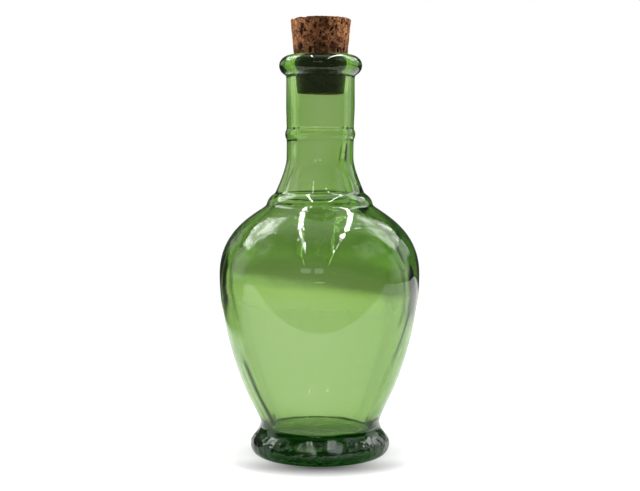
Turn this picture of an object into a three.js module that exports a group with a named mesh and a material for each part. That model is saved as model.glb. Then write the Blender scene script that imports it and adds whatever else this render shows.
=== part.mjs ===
import * as THREE from 'three';

// A green glass bottle with a narrow neck, shut by a tapered cork.
// Millimetres, +Z up. The origin is on the ground, at the middle of the foot.

// Facets round each piece
const GLASS_FACETS = 48;
const CORK_FACETS = 36;

// Steps along a curve of the outline, long or short
const LONG_STEPS = 6;
const SHORT_STEPS = 3;

// Foot: a pressed-up underside inside a flat standing ring, and a rounded rim
const PUSH_UP = 3.5;
const STAND_INNER_RADIUS = 24.5;
const STAND_OUTER_RADIUS = 30;
const FOOT_RADIUS = 33.5;
const FOOT_HEIGHT = 5.2;

// Body: a waist above the foot, a flank that opens out, a belly and a sloping shoulder
const WAIST_RADIUS = 28.9;
const WAIST_HEIGHT = 14.9;
const FLANK_RADIUS = 34.7;
const FLANK_HEIGHT = 28.9;
const FLANK_LEAN = 26;
const BELLY_RADIUS = 47.7;
const BELLY_HEIGHT = 86.6;
const SHOULDER_RADIUS = 25.5;
const SHOULDER_HEIGHT = 119.2;
const SHOULDER_LEAN = -50;

// Collar: a rounded step on the shoulder, from which the neck rises in a flare
const COLLAR_TOP_RADIUS = 21.4;
const COLLAR_TOP_HEIGHT = 124.8;
const COLLAR_TOP_LEAN = -68;
const FLARE_LEAN = -21;

// Neck: slimmest above the flare, a fine bead, then a straight stretch up to the lip
const NECK_LOW_RADIUS = 15.9;
const NECK_LOW_HEIGHT = 142.5;
const BEAD_RADIUS = 16.7;
const BEAD_HEIGHT = 152.8;
const BEAD_HALF_HEIGHT = 2.5;
const BEAD_LEAN = 28;
const NECK_HIGH_RADIUS = 16.45;
const NECK_HIGH_HEIGHT = 165;

// Lip: a thick fire-polished roll
const LIP_RADIUS = 19.7;
const LIP_HEIGHT = 185.2;
const LIP_ROUNDING = 4.9;
const LIP_CROWN_RADIUS = 13.9;
const MOUTH_ROUNDING = 0.8;

// Wall, thick at the shoulder and thinner low down, and the thick floor
const FLOOR_MIDDLE_HEIGHT = 11.6;
const FLOOR_RADIUS = 17.5;
const FLOOR_HEIGHT = 10.3;
const FLOOR_CORNER_WALL = 4.2;
const FLOOR_CORNER_HEIGHT = 15.5;
const FLANK_WALL = 3.4;
const BELLY_WALL = 4.8;
const SHOULDER_INNER_RADIUS = 22;
const SHOULDER_INNER_HEIGHT = 115.2;
const BORE_LOW_RADIUS = 11;
const BORE_LOW_HEIGHT = 143;
const BORE_LOW_TOP = 150;

// Cork, with a hair of clearance all round in the bore
const CORK_TOP_RADIUS = 14.35;
const CORK_TOP_HEIGHT = 207;
const CORK_BOTTOM_RADIUS = 11.2;
const CORK_BOTTOM_HEIGHT = 171.5;
const CORK_EDGE = 0.7;
const CORK_CLEARANCE = 0.3;

// Finishes
const GLASS_COLOUR = '#8fbd62';
const GLASS_ROUGHNESS = 0.04;
const GLASS_OPACITY = 0.55;
const CORK_COLOUR = '#8a6144';
const CORK_ROUGHNESS = 0.9;

// A place on an outline. Lean is the way the outline runs there, in degrees from
// straight up; the pulls say how far it keeps that way before and after the place.
function place(radius, height, lean, pullBefore, pullAfter) {
  const way = THREE.MathUtils.degToRad(lean);
  const at = new THREE.Vector2(radius, height);
  const along = new THREE.Vector2(Math.sin(way), Math.cos(way));
  return {
    at,
    arriving: at.clone().addScaledVector(along, -pullBefore),
    leaving: at.clone().addScaledVector(along, pullAfter),
  };
}

function curve(from, to, steps) {
  return new THREE.CubicBezierCurve(from.at, from.leaving, to.arriving, to.at).getPoints(steps);
}

// A quarter of an ellipse, between two angles counted from outward towards up
function rounding(radius, height, radiusReach, heightReach, start, end, steps) {
  const clockwise = end < start;
  const arc = new THREE.EllipseCurve(radius, height, radiusReach, heightReach, start, end, clockwise);
  return arc.getPoints(steps);
}

// Joins stretches end to end, without the points that they share
function join(...stretches) {
  const outline = [];
  for (const point of stretches.flat()) {
    const last = outline[outline.length - 1];
    if (!last || last.distanceTo(point) > 0.01) {
      outline.push(point);
    }
  }
  return outline;
}

// Turns an outline, given as radius and height, about the upright axis
function turned(outline, facets) {
  const geometry = new THREE.LatheGeometry(outline, facets);
  geometry.rotateX(Math.PI / 2);
  return geometry;
}

function footOutline() {
  const middle = place(0, PUSH_UP, 90, 0, 13);
  const standInner = place(STAND_INNER_RADIUS, 0, 108, 5, 0);
  const rim = rounding(STAND_OUTER_RADIUS, FOOT_HEIGHT, FOOT_RADIUS - STAND_OUTER_RADIUS,
    FOOT_HEIGHT, -Math.PI / 2, 0, SHORT_STEPS);
  return join(curve(middle, standInner, SHORT_STEPS), rim);
}

function bodyOutline() {
  const foot = place(FOOT_RADIUS, FOOT_HEIGHT, 0, 0, 3.6);
  const waist = place(WAIST_RADIUS, WAIST_HEIGHT, 0, 4.1, 1.8);
  const flank = place(FLANK_RADIUS, FLANK_HEIGHT, FLANK_LEAN, 13.5, 6);
  const belly = place(BELLY_RADIUS, BELLY_HEIGHT, 0, 26.5, 21.3);
  const shoulder = place(SHOULDER_RADIUS, SHOULDER_HEIGHT, SHOULDER_LEAN, 6, 0);
  return join(
    curve(foot, waist, LONG_STEPS),
    curve(waist, flank, LONG_STEPS),
    curve(flank, belly, LONG_STEPS),
    curve(belly, shoulder, LONG_STEPS + 1),
  );
}

function neckOutline() {
  const collar = place(SHOULDER_RADIUS, SHOULDER_HEIGHT, 0, 0, 2.4);
  const collarTop = place(COLLAR_TOP_RADIUS, COLLAR_TOP_HEIGHT, COLLAR_TOP_LEAN, 2, 0);
  const flare = place(COLLAR_TOP_RADIUS, COLLAR_TOP_HEIGHT, FLARE_LEAN, 0, 4);
  const neckLow = place(NECK_LOW_RADIUS, NECK_LOW_HEIGHT, 0, 4.6, 0);
  const beadFoot = place(NECK_LOW_RADIUS, BEAD_HEIGHT - BEAD_HALF_HEIGHT, BEAD_LEAN, 0, 1);
  const bead = place(BEAD_RADIUS, BEAD_HEIGHT, 0, 1, 1);
  const beadTop = place(NECK_LOW_RADIUS, BEAD_HEIGHT + BEAD_HALF_HEIGHT, -BEAD_LEAN, 1, 0);
  const neckHigh = new THREE.Vector2(NECK_HIGH_RADIUS, NECK_HIGH_HEIGHT);
  return join(
    curve(collar, collarTop, SHORT_STEPS),
    curve(flare, neckLow, LONG_STEPS),
    curve(beadFoot, bead, 2),
    curve(bead, beadTop, 2),
    [neckHigh],
  );
}

// The roll meets the neck in a crease and thins towards the mouth
function lipOutline() {
  const rollRadius = LIP_RADIUS - LIP_ROUNDING;
  const crease = -Math.acos((NECK_HIGH_RADIUS - rollRadius) / LIP_ROUNDING);
  const crown = LIP_HEIGHT + LIP_ROUNDING;
  return join(
    rounding(rollRadius, LIP_HEIGHT, LIP_ROUNDING, LIP_ROUNDING, crease, 0, SHORT_STEPS),
    rounding(LIP_CROWN_RADIUS, LIP_HEIGHT, LIP_RADIUS - LIP_CROWN_RADIUS, LIP_ROUNDING,
      0, Math.PI / 2, SHORT_STEPS + 1),
    rounding(LIP_CROWN_RADIUS, crown - MOUTH_ROUNDING, MOUTH_ROUNDING, MOUTH_ROUNDING,
      Math.PI / 2, Math.PI, 3),
  );
}

// The inside, from the middle of the floor up to where the cork ends
function cavityOutline() {
  const floorMiddle = place(0, FLOOR_MIDDLE_HEIGHT, 90, 0, 7);
  const floor = place(FLOOR_RADIUS, FLOOR_HEIGHT, 90, 6, 4);
  const corner = place(WAIST_RADIUS - FLOOR_CORNER_WALL, FLOOR_CORNER_HEIGHT, 0, 3.2, 3);
  const flank = place(FLANK_RADIUS - FLANK_WALL, FLANK_HEIGHT, FLANK_LEAN, 10, 6);
  const belly = place(BELLY_RADIUS - BELLY_WALL, BELLY_HEIGHT, 0, 26.5, 17);
  const shoulder = place(SHOULDER_INNER_RADIUS, SHOULDER_INNER_HEIGHT, SHOULDER_LEAN, 6, 6);
  const boreLow = place(BORE_LOW_RADIUS, BORE_LOW_HEIGHT, 0, 13, 0);
  return join(
    curve(floorMiddle, floor, SHORT_STEPS),
    curve(floor, corner, SHORT_STEPS),
    curve(corner, flank, SHORT_STEPS),
    curve(flank, belly, LONG_STEPS),
    curve(belly, shoulder, LONG_STEPS),
    curve(shoulder, boreLow, LONG_STEPS),
    [new THREE.Vector2(BORE_LOW_RADIUS, BORE_LOW_TOP)],
    [new THREE.Vector2(CORK_BOTTOM_RADIUS + CORK_CLEARANCE, CORK_BOTTOM_HEIGHT)],
  );
}

function glassBottle() {
  const outside = join(footOutline(), bodyOutline(), neckOutline(), lipOutline());
  const outline = join(outside, cavityOutline().reverse());
  const material = new THREE.MeshStandardMaterial({
    color: GLASS_COLOUR,
    roughness: GLASS_ROUGHNESS,
    metalness: 0,
    transparent: true,
    opacity: GLASS_OPACITY,
  });
  const mesh = new THREE.Mesh(turned(outline, GLASS_FACETS), material);
  mesh.name = 'glass_bottle';
  return mesh;
}

function corkStopper() {
  const topEdge = CORK_TOP_RADIUS - CORK_EDGE;
  const bottomEdge = CORK_BOTTOM_RADIUS - CORK_EDGE;
  const outline = join(
    [new THREE.Vector2(0, CORK_BOTTOM_HEIGHT)],
    rounding(bottomEdge, CORK_BOTTOM_HEIGHT + CORK_EDGE, CORK_EDGE, CORK_EDGE, -Math.PI / 2, 0, 2),
    rounding(topEdge, CORK_TOP_HEIGHT - CORK_EDGE, CORK_EDGE, CORK_EDGE, 0, Math.PI / 2, 2),
    [new THREE.Vector2(0, CORK_TOP_HEIGHT)],
  );
  const material = new THREE.MeshStandardMaterial({
    color: CORK_COLOUR,
    roughness: CORK_ROUGHNESS,
    metalness: 0,
  });
  const mesh = new THREE.Mesh(turned(outline, CORK_FACETS), material);
  mesh.name = 'cork_stopper';
  return mesh;
}

const bottle = new THREE.Group();
bottle.add(glassBottle(), corkStopper());

export default bottle;
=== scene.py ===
import math
import random

import bpy
import numpy as np
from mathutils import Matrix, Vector, noise


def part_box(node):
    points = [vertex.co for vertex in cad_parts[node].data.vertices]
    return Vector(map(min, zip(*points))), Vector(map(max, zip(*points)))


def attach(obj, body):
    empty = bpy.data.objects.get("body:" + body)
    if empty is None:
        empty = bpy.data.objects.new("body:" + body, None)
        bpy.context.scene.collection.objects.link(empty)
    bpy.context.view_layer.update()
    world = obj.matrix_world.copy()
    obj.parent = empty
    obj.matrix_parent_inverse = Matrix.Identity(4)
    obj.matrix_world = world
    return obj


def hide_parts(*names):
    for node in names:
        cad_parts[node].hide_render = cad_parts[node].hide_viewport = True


bl_info = {
    "name": "Corked Green Bottle",
    "version": (1, 0, 0),
    "blender": (4, 5, 0),
    "location": "View3D > Sidebar > Bottle",
    "description": "Blows a thick green glass bottle, cuts its cork and lights both",
    "category": "Add Mesh",
}

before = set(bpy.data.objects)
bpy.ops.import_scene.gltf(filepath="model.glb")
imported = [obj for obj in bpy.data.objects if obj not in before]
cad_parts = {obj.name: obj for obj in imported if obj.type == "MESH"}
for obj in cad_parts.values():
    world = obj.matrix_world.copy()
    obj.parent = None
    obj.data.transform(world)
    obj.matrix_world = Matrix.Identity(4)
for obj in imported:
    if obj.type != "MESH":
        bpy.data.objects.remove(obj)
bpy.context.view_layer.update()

MM = 0.001
GLASS_LOW, GLASS_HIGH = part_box("glass_bottle")
CORK_LOW, CORK_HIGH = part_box("cork_stopper")
BELLY_RADIUS = GLASS_HIGH[0]
LIP_TOP = GLASS_HIGH[2]
CORK_TOP_RADIUS = CORK_HIGH[0]

# Outline of the glass: the places that its curves pass through
FOOT_RADIUS = 33.5 * MM
FOOT_HEIGHT = 5.2 * MM
STAND_INNER_RADIUS = 24.5 * MM
STAND_OUTER_RADIUS = 30 * MM
PUSH_UP = 3.5 * MM
WAIST_RADIUS = 28.9 * MM
WAIST_HEIGHT = 14.9 * MM
FLANK_RADIUS = 34.7 * MM
FLANK_HEIGHT = 28.9 * MM
FLANK_LEAN = 26
BELLY_HEIGHT = 86.6 * MM
SHOULDER_RADIUS = 25.3 * MM
SHOULDER_HEIGHT = 119.2 * MM
SHOULDER_LEAN = -50
COLLAR_TOP_RADIUS = 21.25 * MM
COLLAR_TOP_HEIGHT = 124.8 * MM
COLLAR_TOP_LEAN = -68
FLARE_LEAN = -21
NECK_LOW_RADIUS = 15.9 * MM
NECK_LOW_HEIGHT = 141.5 * MM
BEAD_RADIUS = 16.7 * MM
BEAD_HEIGHT = 152.8 * MM
BEAD_HALF_HEIGHT = 2.5 * MM
BEAD_LEAN = 28
NECK_HIGH_RADIUS = 16.25 * MM
NECK_HIGH_HEIGHT = 165 * MM
LIP_RADIUS = 19.7 * MM
LIP_ROUNDING = 4.9 * MM
LIP_HEIGHT = LIP_TOP - LIP_ROUNDING
LIP_CROWN_RADIUS = 13.9 * MM
MOUTH_ROUNDING = 0.8 * MM
SHOULDER_INNER_RADIUS = 22 * MM
SHOULDER_INNER_HEIGHT = 115.2 * MM
BORE_LOW_RADIUS = 11 * MM
BORE_LOW_HEIGHT = 143 * MM
BORE_LOW_TOP = 150 * MM
FLOOR_MIDDLE_HEIGHT = 13.2 * MM
FLOOR_RADIUS = 22.4 * MM
FLOOR_HEIGHT = 12.6 * MM
FLOOR_CORNER_HEIGHT = 13.8 * MM
FLOOR_CORNER_WALL = 5.3 * MM
CORK_BOTTOM_RADIUS = 11.2 * MM
CORK_CLEARANCE = 0.3 * MM


class GlassSettings(bpy.types.PropertyGroup):
    """Sizes and finish of the blown glass"""

    belly_wall: bpy.props.FloatProperty(
        name="Belly wall", description="Thickness of the wall at the belly",
        default=4.8 * MM, min=1 * MM, unit="LENGTH", subtype="DISTANCE")
    flank_wall: bpy.props.FloatProperty(
        name="Flank wall", description="Thickness of the wall low down on the body",
        default=5.1 * MM, min=1 * MM, unit="LENGTH", subtype="DISTANCE")
    sides: bpy.props.IntProperty(
        name="Sides", description="Facets round the glass", default=192, min=48)
    skin_wave: bpy.props.FloatProperty(
        name="Skin wave", description="Height of the ripples that the mould leaves outside",
        default=0.035 * MM, min=0, unit="LENGTH", subtype="DISTANCE")
    inside_wave: bpy.props.FloatProperty(
        name="Inside wave", description="Height of the slow waves on the blown inside",
        default=0.25 * MM, min=0, unit="LENGTH", subtype="DISTANCE")
    floor_lumps: bpy.props.FloatProperty(
        name="Floor lumps", description="Height of the lumps on the floor inside",
        default=0.12 * MM, min=0, unit="LENGTH", subtype="DISTANCE")
    depth_colour: bpy.props.FloatVectorProperty(
        name="Depth colour", description="Colour that is left of white light in the glass",
        default=(0.535, 0.769, 0.2), size=3, min=0, max=1, subtype="COLOR")
    depth_density: bpy.props.FloatProperty(
        name="Depth density", description="How fast the glass takes up light", default=210, min=0)
    refraction: bpy.props.FloatProperty(
        name="Refraction", description="Refractive index of the glass", default=1.52, min=1)


class CorkSettings(bpy.types.PropertyGroup):
    """Sizes and colours of the cork"""

    top_radius: bpy.props.FloatProperty(
        name="Top radius", description="Radius of the cork's top",
        default=CORK_TOP_RADIUS, unit="LENGTH", subtype="DISTANCE")
    pit_depth: bpy.props.FloatProperty(
        name="Pit depth", description="Depth of the pores in its skin",
        default=0.45 * MM, min=0, unit="LENGTH", subtype="DISTANCE")
    sides: bpy.props.IntProperty(
        name="Sides", description="Facets round the cork", default=240, min=24)
    pores: bpy.props.IntProperty(
        name="Pores", description="How many pores the cork has", default=1000, min=0)
    crumble: bpy.props.FloatProperty(
        name="Crumble", description="How deep the top edge is broken",
        default=1.8 * MM, min=0, unit="LENGTH", subtype="DISTANCE")
    seed: bpy.props.IntProperty(
        name="Seed", description="Which scatter of pores is used", default=7)
    pale_colour: bpy.props.FloatVectorProperty(
        name="Pale colour", description="Colour of the clean cork",
        default=(0.33, 0.145, 0.057), size=3, min=0, max=1, subtype="COLOR")
    brown_colour: bpy.props.FloatVectorProperty(
        name="Brown colour", description="Colour of the weathered cork",
        default=(0.06, 0.019, 0.0065), size=3, min=0, max=1, subtype="COLOR")
    pit_colour: bpy.props.FloatVectorProperty(
        name="Pit colour", description="Colour inside the pores",
        default=(0.02, 0.008, 0.004), size=3, min=0, max=1, subtype="COLOR")


class StudioSettings(bpy.types.PropertyGroup):
    """Table, light and camera"""

    table_front: bpy.props.FloatProperty(
        name="Table front", description="How far the table reaches towards the camera",
        default=0.16, unit="LENGTH", subtype="DISTANCE")
    table_back: bpy.props.FloatProperty(
        name="Table back", description="How far the table reaches behind the bottle",
        default=0.585, unit="LENGTH", subtype="DISTANCE")
    table_half_width: bpy.props.FloatProperty(
        name="Table half width", description="Half of the table's width",
        default=0.75, unit="LENGTH", subtype="DISTANCE")
    camera_distance: bpy.props.FloatProperty(
        name="Camera distance", description="From the camera to the bottle's axis, level",
        default=0.5645, unit="LENGTH", subtype="DISTANCE")
    camera_height: bpy.props.FloatProperty(
        name="Camera height", description="Height of the lens above the table",
        default=0.1375, unit="LENGTH", subtype="DISTANCE")
    camera_pitch: bpy.props.FloatProperty(
        name="Camera pitch", description="How far the camera looks down",
        default=math.radians(3.82), unit="ROTATION", subtype="ANGLE")
    focal_length: bpy.props.FloatProperty(
        name="Focal length", description="Focal length in millimetres, on a 36 mm frame",
        default=66.5, min=10)


def place(radius, height, lean, before, after):
    """A place on an outline: lean is its way in degrees from straight up, and the
    pulls say how far it keeps that way before and after."""
    way = math.radians(lean)
    at = Vector((radius, height))
    along = Vector((math.sin(way), math.cos(way)))
    return at - along * before, at, at + along * after


def curve(start, end, steps):
    _, p0, p1 = start
    p2, p3, _ = end
    points = []
    for i in range(steps + 1):
        t = i / steps
        s = 1 - t
        points.append(p0 * s**3 + p1 * 3 * s * s * t + p2 * 3 * s * t * t + p3 * t**3)
    return points


def rounding(centre, reach, start, end, steps):
    """Part of an ellipse about centre, its angles in degrees from outward towards up."""
    points = []
    for i in range(steps + 1):
        angle = math.radians(start + (end - start) * i / steps)
        points.append(Vector((centre[0] + reach[0] * math.cos(angle),
                              centre[1] + reach[1] * math.sin(angle))))
    return points


def straight(start, end, steps):
    a, b = Vector(start), Vector(end)
    return [a.lerp(b, i / steps) for i in range(steps + 1)]


def join(*stretches):
    """Stretches end to end, without the points that they share."""
    outline = []
    for point in (p for stretch in stretches for p in stretch):
        if not outline or (outline[-1] - point).length > 1e-6:
            outline.append(point)
    return outline


def melt(outline, passes):
    """Softens an outline's creases as a flame does, and leaves its ends alone."""
    for _ in range(passes):
        middle = [(a + b * 2 + c) / 4 for a, b, c in zip(outline, outline[1:], outline[2:])]
        outline = [outline[0], *middle, outline[-1]]
    return outline


def outside_outline():
    middle = place(0, PUSH_UP, 90, 0, 13 * MM)
    stand_inner = place(STAND_INNER_RADIUS, 0, 108, 5 * MM, 0)
    foot = place(FOOT_RADIUS, FOOT_HEIGHT, 0, 0, 3.1 * MM)
    waist = place(WAIST_RADIUS, WAIST_HEIGHT, 0, 4.6 * MM, 1.8 * MM)
    flank = place(FLANK_RADIUS, FLANK_HEIGHT, FLANK_LEAN, 13.5 * MM, 6 * MM)
    belly = place(BELLY_RADIUS, BELLY_HEIGHT, 0, 26.5 * MM, 21.3 * MM)
    shoulder = place(SHOULDER_RADIUS, SHOULDER_HEIGHT, SHOULDER_LEAN, 6 * MM, 0)
    collar = place(SHOULDER_RADIUS, SHOULDER_HEIGHT, 0, 0, 2.4 * MM)
    collar_top = place(COLLAR_TOP_RADIUS, COLLAR_TOP_HEIGHT, COLLAR_TOP_LEAN, 2 * MM, 0)
    flare = place(COLLAR_TOP_RADIUS, COLLAR_TOP_HEIGHT, FLARE_LEAN, 0, 4 * MM)
    neck_low = place(NECK_LOW_RADIUS, NECK_LOW_HEIGHT, 0, 4.6 * MM, 0)
    bead_foot = place(NECK_LOW_RADIUS, BEAD_HEIGHT - BEAD_HALF_HEIGHT, BEAD_LEAN, 0, 1 * MM)
    bead = place(BEAD_RADIUS, BEAD_HEIGHT, 0, 1 * MM, 1 * MM)
    bead_top = place(NECK_LOW_RADIUS, BEAD_HEIGHT + BEAD_HALF_HEIGHT, -BEAD_LEAN, 1 * MM, 0)
    neck_high = (NECK_HIGH_RADIUS, NECK_HIGH_HEIGHT)
    roll_radius = LIP_RADIUS - LIP_ROUNDING
    crease = -math.degrees(math.acos((NECK_HIGH_RADIUS - roll_radius) / LIP_ROUNDING))
    crease_height = LIP_HEIGHT + LIP_ROUNDING * math.sin(math.radians(crease))
    return join(
        curve(middle, stand_inner, 14),
        straight((STAND_INNER_RADIUS, 0), (STAND_OUTER_RADIUS, 0), 4),
        rounding((STAND_OUTER_RADIUS, FOOT_HEIGHT), (FOOT_RADIUS - STAND_OUTER_RADIUS, FOOT_HEIGHT),
                 -90, 0, 10),
        curve(foot, waist, 14),
        curve(waist, flank, 14),
        curve(flank, belly, 34),
        curve(belly, shoulder, 34),
        curve(collar, collar_top, 12),
        curve(flare, neck_low, 20),
        straight(neck_low[1], bead_foot[1], 9),
        curve(bead_foot, bead, 6),
        curve(bead, bead_top, 6),
        straight(bead_top[1], neck_high, 10),
        straight(neck_high, (NECK_HIGH_RADIUS, crease_height), 14),
        rounding((roll_radius, LIP_HEIGHT), (LIP_ROUNDING, LIP_ROUNDING), crease, 0, 12),
        rounding((LIP_CROWN_RADIUS, LIP_HEIGHT), (LIP_RADIUS - LIP_CROWN_RADIUS, LIP_ROUNDING),
                 0, 90, 14),
        rounding((LIP_CROWN_RADIUS, LIP_TOP - MOUTH_ROUNDING), (MOUTH_ROUNDING, MOUTH_ROUNDING),
                 90, 180, 4),
    )


def inside_outline(glass):
    floor_middle = place(0, FLOOR_MIDDLE_HEIGHT, 90, 0, 7 * MM)
    floor = place(FLOOR_RADIUS, FLOOR_HEIGHT, 90, 6 * MM, 0.7 * MM)
    corner = place(WAIST_RADIUS - FLOOR_CORNER_WALL, FLOOR_CORNER_HEIGHT, 0, 0.7 * MM, 3 * MM)
    flank = place(FLANK_RADIUS - glass.flank_wall, FLANK_HEIGHT, FLANK_LEAN, 10 * MM, 6 * MM)
    belly = place(BELLY_RADIUS - glass.belly_wall, BELLY_HEIGHT, 0, 26.5 * MM, 17 * MM)
    shoulder = place(SHOULDER_INNER_RADIUS, SHOULDER_INNER_HEIGHT, SHOULDER_LEAN, 6 * MM, 6 * MM)
    bore_low = place(BORE_LOW_RADIUS, BORE_LOW_HEIGHT, 0, 13 * MM, 0)
    bore_waist = (BORE_LOW_RADIUS, BORE_LOW_TOP)
    bore_cork = (CORK_BOTTOM_RADIUS + CORK_CLEARANCE, CORK_LOW[2])
    mouth = (LIP_CROWN_RADIUS - MOUTH_ROUNDING, LIP_TOP - MOUTH_ROUNDING)
    return join(
        curve(floor_middle, floor, 10),
        curve(floor, corner, 8),
        curve(corner, flank, 14),
        curve(flank, belly, 30),
        curve(belly, shoulder, 30),
        curve(shoulder, bore_low, 24),
        straight(bore_low[1], bore_waist, 6),
        straight(bore_waist, bore_cork, 14),
        straight(bore_cork, mouth, 12),
    )


def turned_mesh(name, outline, sides):
    """Turns an outline that starts and ends on the axis into one closed mesh."""
    rings = outline[1:-1]
    vertices = [(0, 0, outline[0][1])]
    for radius, height in rings:
        for k in range(sides):
            angle = 2 * math.pi * k / sides
            vertices.append((radius * math.sin(angle), -radius * math.cos(angle), height))
    vertices.append((0, 0, outline[-1][1]))
    last = len(vertices) - 1
    top = 1 + (len(rings) - 1) * sides
    faces = []
    for k in range(sides):
        after = (k + 1) % sides
        faces.append((0, 1 + after, 1 + k))
        for i in range(len(rings) - 1):
            low = 1 + i * sides
            high = low + sides
            faces.append((low + k, low + after, high + after, high + k))
        faces.append((top + k, top + after, last))
    mesh = bpy.data.meshes.new(name)
    mesh.from_pydata(vertices, [], faces)
    mesh.update()
    return mesh


def ripple(point, size, stretch, seed):
    """Smooth noise from -1 to 1 with waves of about size, drawn out along the height."""
    return noise.noise(Vector((point[0] / size + seed, point[1] / size, point[2] / (size * stretch))))


def ripples(point, rows):
    """Several ripples on top of each other, each row with its share first."""
    return sum(share * ripple(point, size, stretch, seed) for share, size, stretch, seed in rows)


# Ripples, row by row: share, size of a wave, how far it is drawn out upwards, and seed
SLOW_RIPPLES = ((1, 7 * MM, 1.3, 3.1), (1.6, 16 * MM, 1.6, 9.7))
FINE_RIPPLE = (3 * MM, 1.5, 41.7)
FOOT_LUMPS = ((8, 7 * MM, 0.7, 13.3), (4, 3.5 * MM, 0.7, 17.9))
INSIDE_RIPPLES = ((1, 30 * MM, 1.5, 21.3), (0.4, 11 * MM, 2.2, 33.9))
FLOOR_LUMPS = ((1, 12 * MM, 1, 55.5), (0.3, 4 * MM, 1, 71.3))

# Where they are: no skin ripple below the first height, fine ones mostly at the shoulder,
# lumps on the foot, and a hollow that gets even towards the cork
SKIN_EVEN_BELOW = 6 * MM
FINE_EVERYWHERE = 0.2
FINE_AT_SHOULDER = 0.7
FINE_HEIGHT = 108 * MM
FINE_REACH = 14 * MM
FOOT_LUMPS_TOP = 18 * MM
FOOT_LUMPS_FADE = 6 * MM
INSIDE_FADE = 15 * MM
FLOOR_LUMPS_TOP = 20 * MM


def skin_wave(point):
    """How far the skin stands out at a point, as a multiple of the skin wave's height."""
    shoulder = max(0, 1 - abs(point.z - FINE_HEIGHT) / FINE_REACH)
    foot = min(1, max(0, (FOOT_LUMPS_TOP - point.z) / FOOT_LUMPS_FADE))
    wave = ripples(point, SLOW_RIPPLES)
    wave += (FINE_EVERYWHERE + FINE_AT_SHOULDER * shoulder) * ripple(point, *FINE_RIPPLE)
    return wave + foot * ripples(point, FOOT_LUMPS)


class BOTTLE_OT_blow_glass(bpy.types.Operator):
    """Blow the bottle: a turned outline with an uneven wall and a rippled skin"""

    bl_idname = "bottle.blow_glass"
    bl_label = "Blow Glass"

    def execute(self, context):
        glass = context.scene.bottle_glass
        outside = melt(outside_outline(), 2)
        inside = inside_outline(glass)
        outline = outside + inside[::-1]
        mesh = turned_mesh("blown_glass", outline, glass.sides)
        self.unevenness(mesh, glass, len(outside))
        mesh.polygons.foreach_set("use_smooth", [True] * len(mesh.polygons))
        piece = bpy.data.objects.new("blown_glass", mesh)
        context.collection.objects.link(piece)
        mesh.materials.append(green_glass(glass))
        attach(piece, "root")
        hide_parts("glass_bottle")
        return {"FINISHED"}

    def unevenness(self, mesh, glass, outside_rings):
        """The skin ripples a little; the inside is wavy, folded, and lies off centre."""
        outside_count = 1 + (outside_rings - 1) * glass.sides
        heights, shifts, thickenings = eased(HOLLOW_SHIFTS)
        for vertex in mesh.vertices:
            point = vertex.co
            radius = math.hypot(point.x, point.y)
            if radius < 1e-6:
                continue
            outward = Vector((point.x / radius, point.y / radius, 0))
            if vertex.index < outside_count:
                if point.z > SKIN_EVEN_BELOW:
                    vertex.co = point + outward * skin_wave(point) * glass.skin_wave
                    vertex.co.x += lean_of(point.z)
            elif point.z < CORK_LOW[2]:
                fade = min(1, (CORK_LOW[2] - point.z) / INSIDE_FADE)
                wave = ripples(point, INSIDE_RIPPLES)
                moved = point + outward * (wave * glass.inside_wave * fade - folds(point, radius))
                moved -= outward * float(np.interp(point.z / MM, heights, thickenings)) * MM
                moved.x += float(np.interp(point.z / MM, heights, shifts)) * MM + lean_of(point.z)
                if point.z < FLOOR_LUMPS_TOP:
                    moved.z += ripples(point, FLOOR_LUMPS) * glass.floor_lumps
                vertex.co = moved
            else:
                vertex.co.x += lean_of(point.z)


# Tables are sampled at steps in mm and smoothed over some samples
EASE_STEP = 0.5
EASE_SAMPLES = 13

# How far a fold runs out beyond each of its ends, as a share of its length
FOLD_RUN_OUT = 0.3


def eased(rows):
    """A table's columns, finely sampled by height and smoothed."""
    columns = np.array(rows, dtype=float).T
    heights = np.arange(columns[0][0], columns[0][-1] + EASE_STEP, EASE_STEP)
    weights = np.hanning(EASE_SAMPLES) / np.hanning(EASE_SAMPLES).sum()
    ends = EASE_SAMPLES // 2
    smooth = [heights]
    for column in columns[1:]:
        fine = np.interp(heights, columns[0], column)
        padded = np.concatenate([[fine[0]] * ends, fine, [fine[-1]] * ends])
        smooth.append(np.convolve(padded, weights, "valid"))
    return smooth


def lean_of(height):
    """How far the bottle leans to the right at a height."""
    return float(np.interp(height / MM, *LEAN_TABLE)) * MM


def folds(point, radius):
    """How far the folds on the inside stand inward at a point."""
    turn = math.degrees(math.atan2(point.x, -point.y))
    depth = 0
    for low, low_turn, high, high_turn, width, height in INSIDE_FOLDS:
        t = (point.z - low) / (high - low)
        if -FOLD_RUN_OUT < t < 1 + FOLD_RUN_OUT:
            away = radius * math.radians(turn - (low_turn + (high_turn - low_turn) * t)) / width
            ends = min(1, (t + FOLD_RUN_OUT) / FOLD_RUN_OUT, (1 + FOLD_RUN_OUT - t) / FOLD_RUN_OUT)
            depth += height * ends * math.exp(-away * away)
    return depth


# The bottle's lean: height and shift to the right, in mm
LEAN_TABLE = eased((
    (0, 0.05), (12, 0), (25, -0.22), (105, -0.25), (125, -0.12), (150, 0.1), (175, 0.25), (207, 0.42)))

# The hollow at some heights, all in mm: its shift to the right and its extra wall
HOLLOW_SHIFTS = (
    (15, 0, 0),
    (60, -0.3, 0),
    (80, -0.5, 0.2),
    (90, -0.8, 1.4),
    (100, -1.1, 2.4),
    (115, -1.4, 1.2),
    (126, -1.2, -0.7),
    (130.6, -1.0, -0.6),
    (134.4, -0.8, -0.3),
    (139.7, -0.6, 0.2),
    (143, -0.4, 0.1),
    (147, -0.2, 0),
    (153, 0.1, 0),
    (166, 0.15, 0),
    (171.5, 0, 0),
)

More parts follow.
